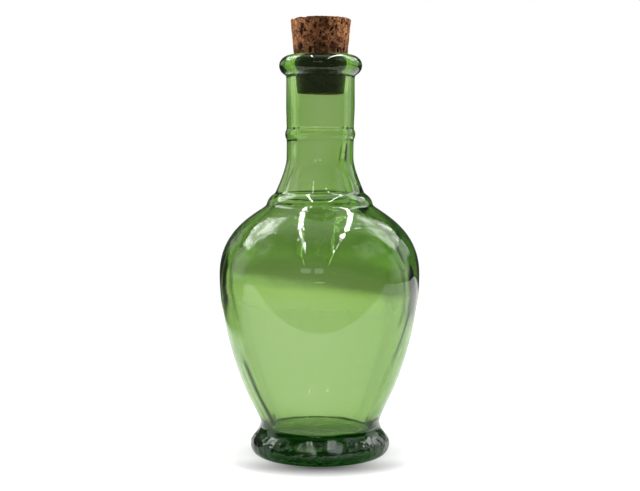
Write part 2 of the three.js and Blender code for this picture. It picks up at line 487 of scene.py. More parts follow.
# Folds on the inside: lower height and turn, upper height and turn, half width and
# height, with turns in degrees from the front towards the right
INSIDE_FOLDS = (
    (28 * MM, 43, 82 * MM, 50, 2.6 * MM, 0.2 * MM),
    (34 * MM, 57, 68 * MM, 71, 2.6 * MM, 0.22 * MM),
    (22 * MM, -58, 44 * MM, -63, 2.2 * MM, 0.3 * MM),
    (50 * MM, 158, 90 * MM, 150, 3.5 * MM, 0.15 * MM),
)


# Fine texture that the mould leaves on the skin: a peel all over, deepest at the shoulder
# and the foot, with grain at the shoulder and mottles on the foot, which fade between two
# heights. A zone is a middle height, the half of its reach and how softly it ends.
PEEL_SIZE = 2.4 * MM
PEEL_DEPTH = 0.06 * MM
PEEL_EVERYWHERE = 0.15
PEEL_ZONE = (112 * MM, 9 * MM, 5 * MM)
GRAIN_SIZE = 1.3 * MM
GRAIN_SHARE = 0.5
MOTTLE_SIZE = 3.4 * MM
MOTTLE_SHARE = 13
MOTTLE_FADE = (9 * MM, 14 * MM)

# Short level dashes in the skin: cell length and height, how rare, how deep and where
DASH_LENGTH = 9 * MM
DASH_HEIGHT = 1.4 * MM
DASH_RARITY = 0.93
DASH_EDGE = (0.05, 0.28)
DASH_DEPTH = 0.12 * MM
DASH_ZONE = (110 * MM, 24 * MM, 4 * MM)


def green_glass(glass):
    """Clear glass that takes up light by its depth, under a finely uneven skin."""
    material, wire, surface = new_material("bottle_glass")
    surface.inputs["Base Color"].default_value = (1, 1, 1, 1)
    surface.inputs["Roughness"].default_value = 0.0
    surface.inputs["Metallic"].default_value = 0
    surface.inputs["Transmission Weight"].default_value = 1
    surface.inputs["IOR"].default_value = glass.refraction
    spot = wire.node("ShaderNodeTexCoord").outputs["Object"]
    height = wire.parts(spot)[2]
    shoulder = wire.inside(height, *PEEL_ZONE)
    foot = wire.fade(height, *MOTTLE_FADE, 1.0, 0.0)
    peel = wire.noise(spot, PEEL_SIZE, 1)
    grain = wire.maths("MULTIPLY", wire.noise(spot, GRAIN_SIZE, 0), GRAIN_SHARE)
    mottles = wire.maths("MULTIPLY", wire.noise(spot, MOTTLE_SIZE, 2), MOTTLE_SHARE)
    relief = wire.maths("MULTIPLY_ADD", grain, shoulder, peel)
    relief = wire.maths("MULTIPLY_ADD", mottles, foot, relief)
    skin = wire.node("ShaderNodeBump")
    skin.inputs["Distance"].default_value = PEEL_DEPTH
    wire.feed(skin.inputs["Strength"], wire.maths(
        "MULTIPLY_ADD", wire.maths("MAXIMUM", shoulder, foot), 1 - PEEL_EVERYWHERE, PEEL_EVERYWHERE))
    wire.feed(skin.inputs["Height"], relief)
    marked = wire.node("ShaderNodeBump")
    marked.inputs["Strength"].default_value = 1
    marked.inputs["Distance"].default_value = DASH_DEPTH
    wire.feed(marked.inputs["Height"], level_dashes(wire, spot, height))
    wire.feed(marked.inputs["Normal"], skin.outputs["Normal"])
    wire.feed(surface.inputs["Normal"], marked.outputs["Normal"])
    absorption = wire.node("ShaderNodeVolumeAbsorption")
    absorption.inputs["Color"].default_value = (*glass.depth_colour, 1)
    absorption.inputs["Density"].default_value = glass.depth_density
    wire.feed(wire.tree.nodes["Material Output"].inputs["Volume"], absorption.outputs["Volume"])
    return material


def level_dashes(wire, spot, height):
    """One on a few short level dashes round the shoulder, and nothing elsewhere."""
    drawn_out = wire.node("ShaderNodeVectorMath", operation="MULTIPLY")
    wire.feed(drawn_out.inputs[0], spot)
    wire.feed(drawn_out.inputs[1], (1 / DASH_LENGTH, 1 / DASH_LENGTH, 1 / DASH_HEIGHT))
    cells = wire.cells(drawn_out.outputs[0], 1, "F1")
    chance = wire.node("ShaderNodeSeparateColor")
    wire.feed(chance.inputs[0], cells.outputs["Color"])
    rare = wire.maths("GREATER_THAN", chance.outputs[0], DASH_RARITY)
    dash = wire.maths("MULTIPLY", rare, wire.fade(cells.outputs["Distance"], *DASH_EDGE, 1.0, 0.0))
    return wire.maths("MULTIPLY", dash, wire.inside(height, *DASH_ZONE))


# The cork's skin: its rounded edge, where its rim and its top band start, how rough it is
# above and in the neck, and the notches in its top edge
CORK_EDGE = 0.7 * MM
RIM_START = 0.6
RIM_WIDTH = 0.3
TOP_BAND = 2 * MM
TOP_SLANT = 0.8
END_SKIN = 0.1 * MM
WORN_BELOW_LIP = 1 * MM
WORN_IN_NECK = 0.3
SKIN_SINK = 0.12 * MM
SKIN_ROUGHNESS = 0.2 * MM
CORK_RIPPLES = ((0.5, 1.3 * MM, 1, 5.5), (0.5, 3 * MM, 1, 15.5))
NOTCH_RIPPLE = (2.4 * MM, 1, 91.7)
NOTCH_SHARE = 1.3

# Its pores: smallest size, how much larger they get and how seldom, how long and how deep
# they are, the share on top, and how wide and how round their walls are
PORE_SMALLEST = 0.22 * MM
PORE_SPREAD = 0.6 * MM
PORE_RARITY = 5
PORE_LENGTHS = (0.8, 1.0, 1.4, 2.0)
PORE_DEPTHS = (0.4, 1)
PORES_ON_TOP = 0.24
PORE_WIDTH = 1.25
PORE_ROUNDNESS = 0.6


class BOTTLE_OT_cut_cork(bpy.types.Operator):
    """Cut the cork: tapered, pitted and crumbled at its top edge"""

    bl_idname = "bottle.cut_cork"
    bl_label = "Cut Cork"

    def execute(self, context):
        cork = context.scene.bottle_cork
        edge = CORK_EDGE
        low, high = CORK_LOW[2], CORK_HIGH[2]
        outline = join(
            straight((0, low), (CORK_BOTTOM_RADIUS - edge, low), 14),
            rounding((CORK_BOTTOM_RADIUS - edge, low + edge), (edge, edge), -90, 0, 4),
            straight((CORK_BOTTOM_RADIUS, low + edge), (cork.top_radius, high - edge), 100),
            rounding((cork.top_radius - edge, high - edge), (edge, edge), 0, 90, 5),
            straight((cork.top_radius - edge, high), (0, high), 36),
        )
        mesh = turned_mesh("cut_cork", outline, cork.sides)
        self.crumble(mesh, cork)
        mesh.polygons.foreach_set("use_smooth", [True] * len(mesh.polygons))
        piece = bpy.data.objects.new("cut_cork", mesh)
        context.collection.objects.link(piece)
        mesh.materials.append(raw_cork(cork))
        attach(piece, "root")
        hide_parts("cork_stopper")
        return {"FINISHED"}

    def crumble(self, mesh, cork):
        """Sinks pores into the skin, breaks the top edge and keeps how deep each spot lies."""
        pores = scattered_pores(cork)
        depth = mesh.attributes.new("pore_depth", "FLOAT", "POINT")
        depths = np.zeros(len(mesh.vertices))
        places = np.array([vertex.co for vertex in mesh.vertices])
        for middle, size, depth_here in pores:
            away = (places - middle) / size
            reach = np.sqrt((away ** 2).sum(axis=1))
            depths = np.maximum(depths, depth_here * np.clip(PORE_WIDTH - reach, 0, 1) ** PORE_ROUNDNESS)
        for vertex, sunk in zip(mesh.vertices, depths):
            self.sink(vertex, sunk, cork)
        depth.data.foreach_set("value", depths.astype(np.float32))

    def sink(self, vertex, sunk, cork):
        """Moves a spot inward by its pore and the skin's roughness, and notches the top edge."""
        low, high = CORK_LOW[2], CORK_HIGH[2]
        point = vertex.co
        radius = math.hypot(point.x, point.y)
        inward = Vector((-point.x, -point.y, 0)).normalized() if radius > 1e-6 else Vector()
        down = Vector((0, 0, -1 if point.z > 0.5 * (low + high) else 1))
        rim = min(1, max(0, (radius / cork.top_radius - RIM_START) / RIM_WIDTH))
        top = min(1, max(0, (point.z - high + TOP_BAND) / TOP_BAND))
        on_an_end = point.z > high - END_SKIN or point.z < low + END_SKIN
        way = down if on_an_end and rim < 1 else (inward + down * top * TOP_SLANT).normalized()
        worn = 1 if point.z > LIP_TOP - WORN_BELOW_LIP else WORN_IN_NECK
        depth = sunk * cork.pit_depth + (SKIN_SINK + ripples(point, CORK_RIPPLES) * SKIN_ROUGHNESS) * worn
        point += way * max(0, depth)
        notch = max(0, ripple((point.x, point.y, 0), *NOTCH_RIPPLE)) * NOTCH_SHARE
        point.x += lean_of(point.z)
        point.z -= top * rim * notch * cork.crumble
        vertex.co = point


def scattered_pores(cork):
    """Pores of many sizes on the side and the top, long ones mostly upright."""
    chance = random.Random(cork.seed)
    pores = []
    low, high = CORK_LOW[2], CORK_HIGH[2]
    for _ in range(cork.pores):
        size = PORE_SMALLEST + PORE_SPREAD * chance.random() ** PORE_RARITY
        angle = chance.uniform(-math.pi, math.pi)
        long = chance.choice(PORE_LENGTHS)
        if chance.random() < PORES_ON_TOP:
            radius = cork.top_radius * math.sqrt(chance.random())
            height = high
            shape = np.array((size, size, size))
        else:
            height = chance.uniform(low, high)
            share = (height - low) / (high - low)
            radius = CORK_BOTTOM_RADIUS + (cork.top_radius - CORK_BOTTOM_RADIUS) * share
            shape = np.array((size, size, size * long))
        middle = np.array((radius * math.sin(angle), -radius * math.cos(angle), height))
        pores.append((middle, shape, chance.uniform(*PORE_DEPTHS)))
    return pores


# The cork's colours: sizes of the bits it is pressed from, of its clouds and of its grit,
# how much of each is in the tone, where pores, cracks and specks start and end, and how
# raised and how dull the surface is
BIT_SIZE = 1.8 * MM
CLOUD_SIZE = 4 * MM
GRIT_SIZE = 0.9 * MM
BIT_TONE = 0.4
CLOUD_TONE = 0.6
GRIT_TONE = 1.1
TONE_SHIFT = 0.55
BROWN_STOP = 0.3
PALE_STOP = 0.75
PORE_GRIT = 0.5
PORE_EDGE = (0.12, 0.42)
CRACK_EDGE = (0.0, 0.1, 0.75, 0.0)
CRACK_CLOUDS = (0.42, 0.6)
SPECK_EDGE = (0.66, 0.74, 0.0, 0.8)
CORK_RELIEF = 0.15 * MM
CORK_RELIEF_STRENGTH = 0.8
CORK_ROUGHNESS = 0.85
CORK_SHINE = 0.08

# Painted shade and light on the cork: how dark its colour is painted in the neck, how much lighter its
# bottom end is painted, as if the table lit it, and how dark its foot just above the lip is painted
NECK_PAINTED_SHADE_HEIGHTS = (LIP_TOP - 2.5 * MM, LIP_TOP + 0.5 * MM)
NECK_PAINTED_SHADE = 0.04
END_PAINTED_LIGHT_HEIGHTS = (CORK_LOW[2], CORK_LOW[2] + 0.3 * MM)
END_PAINTED_LIGHT = 3.0
LIP_PAINTED_SHADE_HEIGHTS = (LIP_TOP, LIP_TOP + 9 * MM)
LIP_PAINTED_SHADE = 0.5


def raw_cork(cork):
    """Pressed cork: bits from brown to pale, with dark pores, cracks and specks, painted shade in the neck
    and just above the lip, and a painted light on its bottom end.
    """
    material, wire, surface = new_material("raw_cork")
    surface.inputs["Roughness"].default_value = CORK_ROUGHNESS
    surface.inputs["Specular IOR Level"].default_value = CORK_SHINE
    spot = wire.node("ShaderNodeTexCoord").outputs["Object"]
    bit = wire.node("ShaderNodeSeparateColor")
    wire.feed(bit.inputs[0], wire.cells(spot, BIT_SIZE, "F1").outputs["Color"])
    gap = wire.cells(spot, BIT_SIZE, "DISTANCE_TO_EDGE").outputs["Distance"]
    clouds = wire.noise(spot, CLOUD_SIZE, 4)
    grit = wire.noise(spot, GRIT_SIZE, 3)
    tone = wire.maths("MULTIPLY_ADD", bit.outputs[0], BIT_TONE, wire.maths("MULTIPLY", clouds, CLOUD_TONE))
    tone = wire.maths("MULTIPLY_ADD", grit, GRIT_TONE, wire.maths("SUBTRACT", tone, TONE_SHIFT))
    tint = wire.node("ShaderNodeValToRGB")
    brown, pale = tint.color_ramp.elements
    brown.position = BROWN_STOP
    brown.color = (*cork.brown_colour, 1)
    pale.position = PALE_STOP
    pale.color = (*cork.pale_colour, 1)
    wire.feed(tint.inputs["Fac"], tone)
    pore = wire.node("ShaderNodeAttribute", attribute_name="pore_depth").outputs["Fac"]
    pore = wire.maths("MULTIPLY_ADD", wire.maths("SUBTRACT", grit, 0.5), PORE_GRIT, pore)
    crack = wire.maths("MULTIPLY", wire.fade(gap, *CRACK_EDGE), wire.fade(clouds, *CRACK_CLOUDS))
    dark = wire.maths("MAXIMUM", wire.fade(pore, *PORE_EDGE), crack)
    dark = wire.maths("MAXIMUM", dark, wire.fade(grit, *SPECK_EDGE))
    skin = wire.colours("MIX", dark, tint.outputs["Color"], (*cork.pit_colour, 1))
    height = wire.parts(spot)[2]
    # Painted shade and light: the colour is darker in the neck and just above the lip, and lighter on the
    # bottom end
    shade = wire.fade(height, *NECK_PAINTED_SHADE_HEIGHTS, NECK_PAINTED_SHADE, 1.0)
    shade = wire.maths("MAXIMUM", shade, wire.fade(height, *END_PAINTED_LIGHT_HEIGHTS, END_PAINTED_LIGHT, 0.0))
    shade = wire.maths("MULTIPLY", shade, wire.fade(height, *LIP_PAINTED_SHADE_HEIGHTS, LIP_PAINTED_SHADE, 1.0))
    wire.feed(surface.inputs["Base Color"], wire.colours("MULTIPLY", 1.0, skin, shade))
    bump = wire.node("ShaderNodeBump")
    bump.inputs["Strength"].default_value = CORK_RELIEF_STRENGTH
    bump.inputs["Distance"].default_value = CORK_RELIEF
    wire.feed(bump.inputs["Height"], wire.maths("SUBTRACT", grit, dark))
    wire.feed(surface.inputs["Normal"], bump.outputs["Normal"])
    return material


class BOTTLE_OT_set_studio(bpy.types.Operator):
    """Set the table, the light and the camera"""

    bl_idname = "bottle.set_studio"
    bl_label = "Set Studio"

    def execute(self, context):
        studio = context.scene.bottle_studio
        self.table(context, studio)
        self.boards(context, studio)
        self.camera(context, studio)
        light_room(context.scene)
        context.scene.view_settings.view_transform = "Standard"
        context.scene.view_settings.look = "None"
        light_paths = context.scene.cycles
        light_paths.max_bounces = 24
        light_paths.glossy_bounces = 16
        light_paths.transmission_bounces = 24
        light_paths.transparent_max_bounces = 8
        return {"FINISHED"}

    def table(self, context, studio):
        mesh = bpy.data.meshes.new("table")
        half = studio.table_half_width
        slant = half * BACKDROP_SLANT
        mesh.from_pydata([(-half, -studio.table_front, 0), (half, -studio.table_front, 0),
                          (half, studio.table_back + slant, 0), (-half, studio.table_back - slant, 0)],
                         [], [(0, 1, 2, 3)])
        mesh.materials.append(white_paint())
        table = bpy.data.objects.new("table", mesh)
        context.collection.objects.link(table)

    def boards(self, context, studio):
        """A backdrop beyond the table's end, too far off to shade it, and a dim strip close
        behind the bottle. Only the glass shows them."""
        half, top = BACKDROP_SIZE
        away = studio.table_back + NOOK_REACH
        slant = half * BACKDROP_SLANT
        corners = [(-half, away - slant, BACKDROP_FOOT), (half, away + slant, BACKDROP_FOOT),
                   (half, away + slant, top), (-half, away - slant, top)]
        self.board(context, "backdrop", corners, painted_backdrop())
        half, low, high, away = DIM_STRIP
        corners = [(-half, away, low), (half, away, low), (half, away, high), (-half, away, high)]
        self.board(context, "dim_strip", corners, dim_paint())

    def board(self, context, name, corners, material):
        mesh = bpy.data.meshes.new(name)
        mesh.from_pydata(corners, [], [(0, 1, 2, 3)])
        mesh.materials.append(material)
        board = bpy.data.objects.new(name, mesh)
        context.collection.objects.link(board)
        board.visible_camera = False
        board.visible_diffuse = False

    def camera(self, context, studio):
        lens = bpy.data.cameras.new("camera")
        lens.sensor_width = 36
        lens.lens = studio.focal_length
        camera = bpy.data.objects.new("camera", lens)
        context.collection.objects.link(camera)
        camera.location = (0, -studio.camera_distance, studio.camera_height)
        camera.rotation_euler = (math.radians(90) - studio.camera_pitch, 0, 0)
        context.scene.camera = camera


class Wiring:
    """Short calls for the nodes of one shader tree."""

    def __init__(self, tree):
        self.tree = tree

    def node(self, kind, **settings):
        made = self.tree.nodes.new(kind)
        for name, value in settings.items():
            setattr(made, name, value)
        return made

    def feed(self, socket, value):
        if isinstance(value, bpy.types.NodeSocket):
            self.tree.links.new(value, socket)
        else:
            socket.default_value = value

    def maths(self, operation, *values):
        made = self.node("ShaderNodeMath", operation=operation)
        for socket, value in zip(made.inputs, values):
            self.feed(socket, value)
        return made.outputs[0]

    def fade(self, value, start, end, low=0.0, high=1.0):
        """Goes smoothly from low to high while value goes from start to end."""
        made = self.node("ShaderNodeMapRange", interpolation_type="SMOOTHSTEP")
        for socket, number in zip(made.inputs, (value, start, end, low, high)):
            self.feed(socket, number)
        return made.outputs[0]

    def inside(self, value, middle, half, soft):
        """One within half of middle, and nothing a soft step further out."""
        away = self.maths("ABSOLUTE", self.maths("SUBTRACT", value, middle))
        return self.fade(away, half, half + soft, 1.0, 0.0)

    def blend(self, mask, low, high):
        made = self.node("ShaderNodeMix", data_type="FLOAT")
        for socket, value in zip((made.inputs[0], made.inputs[2], made.inputs[3]), (mask, low, high)):
            self.feed(socket, value)
        return made.outputs[0]

    def colours(self, kind, mask, first, second):
        made = self.node("ShaderNodeMix", data_type="RGBA", blend_type=kind)
        self.feed(made.inputs["Factor"], mask)
        self.feed(made.inputs[6], first)
        self.feed(made.inputs[7], second)
        return made.outputs[2]

    def parts(self, vector):
        """A vector's part across, part to the back and part up."""
        made = self.node("ShaderNodeSeparateXYZ")
        self.feed(made.inputs[0], vector)
        return made.outputs

    def noise(self, vector, size, detail):
        made = self.node("ShaderNodeTexNoise")
        self.feed(made.inputs["Vector"], vector)
        made.inputs["Scale"].default_value = 1 / size
        made.inputs["Detail"].default_value = detail
        return made.outputs["Fac"]

    def cells(self, vector, size, feature):
        made = self.node("ShaderNodeTexVoronoi", feature=feature)
        self.feed(made.inputs["Vector"], vector)
        made.inputs["Scale"].default_value = 1 / size
        return made


def new_material(name):
    """A material, the wiring of its tree and its surface shader."""
    material = bpy.data.materials.new(name)
    material.use_nodes = True
    tree = material.node_tree
    return material, Wiring(tree), tree.nodes["Principled BSDF"]


def white_paint():
    """The table's matt white, with a painted contact shadow where the bottle stands and a painted glow. It
    looks whiter straight on than through the glass, and has a painted dark patch where the skin mirrors
    its far left end."""
    material, wire, surface = new_material("white_table")
    surface.inputs["Roughness"].default_value = 1
    surface.inputs["Specular IOR Level"].default_value = 0
    surface.inputs["Emission Color"].default_value = (1, 1, 1, 1)
    ray = wire.node("ShaderNodeLightPath").outputs
    # Painted contact shadow: an occlusion test darkens the table's white and glow near the foot, most in
    # front of it
    nook = wire.node("ShaderNodeAmbientOcclusion")
    nook.inputs["Distance"].default_value = NOOK_REACH
    wire.feed(nook.inputs["Normal"], NOOK_FACING)
    across, back, _ = wire.parts(wire.node("ShaderNodeTexCoord").outputs["Object"])
    front = wire.fade(back, *NOOK_FRONT, 1.0, NOOK_ASIDE)
    painted_contact_shadow = wire.blend(front, 1.0, wire.maths("POWER", nook.outputs["AO"], NOOK_DEPTH))
    # Painted reflection: the table's far left end looks dark only where the skin mirrors it
    painted_mirror_dark_patch = wire.maths("MULTIPLY", wire.fade(across, *TABLE_MIRROR_DARK_ACROSS, 1.0, 0.0),
                          wire.fade(back, *TABLE_MIRROR_DARK_BACK))
    mirrored = wire.blend(painted_mirror_dark_patch, TABLE_MIRRORED, TABLE_MIRRORED_DARK)
    white = wire.maths("MULTIPLY", ray["Is Transmission Ray"], TABLE_THROUGH_GLASS)
    white = wire.blend(ray["Is Reflection Ray"], white, wire.maths("MULTIPLY", painted_contact_shadow, mirrored))
    white = wire.blend(ray["Is Camera Ray"], white, wire.maths("MULTIPLY", painted_contact_shadow, TABLE_WHITE))
    white = wire.blend(ray["Is Diffuse Ray"], white, TABLE_BOUNCE)
    wire.feed(surface.inputs["Base Color"], white)
    # Painted glow: the table glows for the camera and through the glass, though it is no lamp
    lift = wire.maths("MULTIPLY", wire.maths("MULTIPLY", painted_contact_shadow, TABLE_LIFT), ray["Is Camera Ray"])
    lift = wire.maths("MULTIPLY_ADD", ray["Is Transmission Ray"], TABLE_LIFT_THROUGH_GLASS, lift)
    wire.feed(surface.inputs["Emission Strength"], lift)
    return material


def light_room(scene):
    """The room: white for the camera, a soft dome for matt surfaces, and for the glass what
    stands round the bottle, seen through it or mirrored in its skin."""
    world = bpy.data.worlds.new("room")
    scene.world = world
    world.use_nodes = True
    world.cycles.sampling_method = "NONE"
    tree = world.node_tree
    tree.nodes.clear()
    wire = Wiring(tree)
    across, back, up = wire.parts(wire.node("ShaderNodeTexCoord").outputs["Generated"])
    turn = wire.maths("MULTIPLY", wire.maths("ARCTAN2", across, back), 180 / math.pi)
    rise = wire.maths("MULTIPLY", wire.maths("ARCSINE", up), 180 / math.pi)
    ray = wire.node("ShaderNodeLightPath").outputs
    through = room_through_glass(wire, turn, rise)
    mirrored = room_in_mirror(wire, across, back, turn, rise)
    lamps = wire.maths("MULTIPLY", overhead_lamps(wire, across, back, up),
                       wire.blend(ray["Is Reflection Ray"], LAMP_THROUGH_GLASS, 1.0))
    seen = wire.maths("ADD", wire.blend(ray["Is Reflection Ray"], through, mirrored), lamps)
    dome = wire.maths("MULTIPLY", wire.fade(back, *DOME_BACKWARDS, DOME_FRONT, DOME_BACK),
                      wire.fade(up, *DOME_UPWARDS))
    sides = wire.fade(wire.maths("ABSOLUTE", across), *DOME_SIDEWAYS, 1.0, DOME_SIDES)
    dome = wire.maths("MULTIPLY", dome, sides)
    lights_matt = wire.maths("GREATER_THAN", ray["Diffuse Depth"], 0.5)
    strength = wire.blend(ray["Is Camera Ray"], wire.blend(lights_matt, seen, dome), 1.0)
    light = wire.node("ShaderNodeBackground")
    light.inputs["Color"].default_value = (1, 1, 1, 1)
    wire.feed(light.inputs["Strength"], strength)
    out = wire.node("ShaderNodeOutputWorld")
    wire.feed(out.inputs["Surface"], light.outputs["Background"])


def painted_backdrop():
    """Bright cream at its foot, pale above and dark at its top. The skin of the glass
    mirrors it dim, but for a soft lamp at its left."""
    material, wire, surface = new_material("painted_backdrop")
    surface.inputs["Base Color"].default_value = (0, 0, 0, 1)
    surface.inputs["Specular IOR Level"].default_value = 0
    across, _, height = wire.parts(wire.node("ShaderNodeTexCoord").outputs["Object"])
    sloped = wire.maths("MULTIPLY_ADD", across, BAND_SLOPE_FAR, height)
    glow = wire.fade(sloped, *BACKDROP_BAND_FOOT, BACKDROP_CREAM, BACKDROP_PALE)
    glow = wire.blend(wire.fade(height, *BACKDROP_TOP), glow, ROOM_ABOVE)
    lamp = wire.maths("MULTIPLY", wire.inside(across, *SIDE_LAMP_ACROSS),
                      wire.inside(height, *SIDE_LAMP_HEIGHT))
    mirrored = wire.blend(lamp, ROOM_MIRRORED, SIDE_LAMP_GLOW)
    ray = wire.node("ShaderNodeLightPath").outputs
    wire.feed(surface.inputs["Emission Strength"], wire.blend(ray["Is Reflection Ray"], glow, mirrored))
    tint = wire.colours("MIX", wire.inside(height, *CREAM_PART), (1, 1, 1, 1), CREAM)
    wire.feed(surface.inputs["Emission Color"], tint)
    return material


def dim_paint():
    """A dim strip with dark, taller ends that fades out at its rim, and no mirror shows it."""
    material, wire, surface = new_material("dim_paint")
    surface.inputs["Base Color"].default_value = (0, 0, 0, 1)
    surface.inputs["Specular IOR Level"].default_value = 0
    surface.inputs["Emission Color"].default_value = (1, 1, 1, 1)
    across, _, height = wire.parts(wire.node("ShaderNodeTexCoord").outputs["Object"])
    ends = wire.fade(wire.maths("ABSOLUTE", across), *STRIP_ENDS)
    wire.feed(surface.inputs["Emission Strength"], wire.blend(ends, STRIP_DIM, STRIP_DARK))
    sloped = wire.maths("MULTIPLY_ADD", across, BAND_SLOPE_NEAR, height)
    above = wire.blend(ends, wire.fade(sloped, *STRIP_FOOT), wire.fade(height, *STRIP_END_FOOT))
    below = wire.blend(ends, wire.fade(height, *STRIP_TOP, 1.0, 0.0),
                       wire.fade(height, *STRIP_END_TOP, 1.0, 0.0))
    cover = wire.maths("MULTIPLY", wire.maths("MULTIPLY", above, below), wire.inside(across, *STRIP_SPAN))
    ray = wire.node("ShaderNodeLightPath").outputs
    cover = wire.maths("MULTIPLY", cover, wire.maths("SUBTRACT", 1.0, ray["Is Reflection Ray"]))
    wire.feed(surface.inputs["Alpha"], cover)
    return material


def room_through_glass(wire, turn, rise):
    """What is seen through the glass past the stage: white below, pale around, dark above,
    and the ceiling."""
    room = wire.fade(rise, *HORIZON_RISE, ROOM_TABLE, ROOM_AROUND)
    room = wire.blend(wire.fade(rise, *ABOVE_RISE), room, ROOM_ABOVE)
    room = wire.blend(wire.fade(wire.maths("ABSOLUTE", turn), *FRONT_TURN), room, ROOM_FRONT_SEEN)
    return wire.blend(wire.fade(rise, *CEILING_RISE_SEEN), room, CEILING_SEEN)


def room_in_mirror(wire, across, back, turn, rise):
    """What the skin of the glass mirrors: a dim room with a bright ceiling, bright low down
    at both sides, with big soft lights there and a window in front."""
    dim = wire.fade(rise, *MIRRORED_RISE, ROOM_MIRRORED, ROOM_MIRRORED_HIGH)
    ceiling_start = wire.blend(wire.fade(back, *CEILING_BACKWARDS), CEILING_RISE_FRONT, CEILING_RISE_BACK)
    ceiling = wire.fade(wire.maths("SUBTRACT", rise, ceiling_start), 0, CEILING_BLEND)
    glow = wire.blend(ceiling, dim, CEILING_GLOW)
    beside = wire.maths("MULTIPLY", wire.inside(wire.maths("ABSOLUTE", turn), *BESIDE_TURN),
                        wire.inside(rise, *BESIDE_RISE))
    glow = wire.blend(beside, glow, ROOM_SIDE_GLOW)
    cloth = wire.noise(wire.node("ShaderNodeTexCoord").outputs["Generated"], CLOTH_FOLDS, 3)
    uneven = wire.fade(cloth, *CLOTH_UNEVEN)
    for middle, half_width, low, high, strength in SIDE_LIGHTS:
        light = wire.maths("MULTIPLY", wire.inside(turn, middle, half_width, SIDE_LIGHT_SOFT_ACROSS),
                           wire.inside(rise, (low + high) / 2, (high - low) / 2, SIDE_LIGHT_SOFT_UP))
        glow = wire.maths("MULTIPLY_ADD", wire.maths("MULTIPLY", light, uneven), strength, glow)
    front = wire.maths("LESS_THAN", back, 0)
    slope = wire.maths("DIVIDE", across, wire.maths("MAXIMUM", wire.maths("ABSOLUTE", back), LEAST_BACK))
    for middle, half_width, low, high, strength in WINDOWS:
        pane = wire.maths("MULTIPLY", wire.inside(slope, middle, half_width, PANE_SOFT_ACROSS),
                          wire.inside(rise, (low + high) / 2, (high - low) / 2, PANE_SOFT_UP))
        glow = wire.maths("MULTIPLY_ADD", wire.maths("MULTIPLY", pane, front), strength, glow)
    return glow


def overhead_lamps(wire, across, back, up):
    """Two narrow lamps on the ceiling that run from front to back, under grained covers."""
    level = wire.maths("MAXIMUM", up, LEAST_UP)
    u = wire.maths("DIVIDE", across, level)
    v = wire.maths("DIVIDE", back, level)
    glow = 0.0
    for middle, slant, half_width, centre, half_length in LAMPS:
        line = wire.maths("MULTIPLY_ADD", v, slant, middle)
        width = wire.fade(v, *LAMP_TAPER, LAMP_TIP, half_width)
        away = wire.maths("ABSOLUTE", wire.maths("SUBTRACT", u, line))
        edge = wire.fade(wire.maths("SUBTRACT", away, width), 0.0, LAMP_SOFT_ACROSS, 1.0, 0.0)
        lamp = wire.maths("MULTIPLY", edge, wire.inside(v, centre, half_length, LAMP_SOFT_ALONG))
        glow = wire.maths("ADD", glow, lamp)
    spots = wire.node("ShaderNodeCombineXYZ")
    wire.feed(spots.inputs[0], wire.maths("DIVIDE", u, LAMP_GRAIN[0]))
    wire.feed(spots.inputs[1], wire.maths("DIVIDE", v, LAMP_GRAIN[1]))
    cover = wire.fade(wire.noise(spots.outputs[0], 1, 1), *LAMP_COVER)
    glow = wire.maths("MULTIPLY", glow, cover)
    above = wire.maths("GREATER_THAN", up, LAMPS_ABOVE)
    return wire.maths("MULTIPLY", wire.maths("MULTIPLY", glow, above), LAMP_GLOW)


# The table's white and its painted glow in the camera's own sight and through the glass, its white as it
# lights other things, and as the skin mirrors it, with a painted dark patch at the far left that only the
# mirror shows
TABLE_WHITE = 0.45
TABLE_LIFT = 0.8
TABLE_LIFT_THROUGH_GLASS = 0.19
TABLE_THROUGH_GLASS = 0.42
TABLE_BOUNCE = 0.9
TABLE_MIRRORED = 0.8
TABLE_MIRRORED_DARK = 0.08
TABLE_MIRROR_DARK_ACROSS = (-0.21, -0.16)
TABLE_MIRROR_DARK_BACK = (0.0, 0.06)

# The shadow painted into the table's white and glow where the foot meets it: its reach, which way it
# looks, how deep it is, and how it weakens from the front of the foot to its sides
NOOK_REACH = 28 * MM
NOOK_FACING = (0, 0.87, 0.5)
NOOK_DEPTH = 3.8
NOOK_FRONT = (-0.038, -0.012)
NOOK_ASIDE = 0.3

# The room through the glass: brightness, and the rises and turns in degrees where its
# parts blend
ROOM_TABLE = 1.0
ROOM_AROUND = 0.75
ROOM_ABOVE = 0.07
ROOM_FRONT_SEEN = 0.6
CEILING_SEEN = 0.55
HORIZON_RISE = (-6.6, -4.6)
ABOVE_RISE = (32, 38)
FRONT_TURN = (80, 120)
CEILING_RISE_SEEN = (48, 62)

# The room in the mirror of the skin: brightness, and where its parts blend
ROOM_MIRRORED = 0.06
ROOM_MIRRORED_HIGH = 0.03
ROOM_SIDE_GLOW = 1.0
CEILING_GLOW = 0.9
MIRRORED_RISE = (20, 45)
CEILING_BACKWARDS = (-0.1, 0.25)
CEILING_RISE_FRONT = 48
CEILING_RISE_BACK = 34
CEILING_BLEND = 36
BESIDE_TURN = (72, 10, 12)
BESIDE_RISE = (9, 10, 7)

# The soft dome that lights matt surfaces: brightness in front, behind and at the sides,
# and the ways where they blend
DOME_FRONT = 0.05
DOME_BACK = 1.0
DOME_SIDES = 13.0
DOME_BACKWARDS = (-0.8, 0.1)
DOME_UPWARDS = (-0.1, 0.3, 0.4, 1.0)
DOME_SIDEWAYS = (0.68, 0.95)

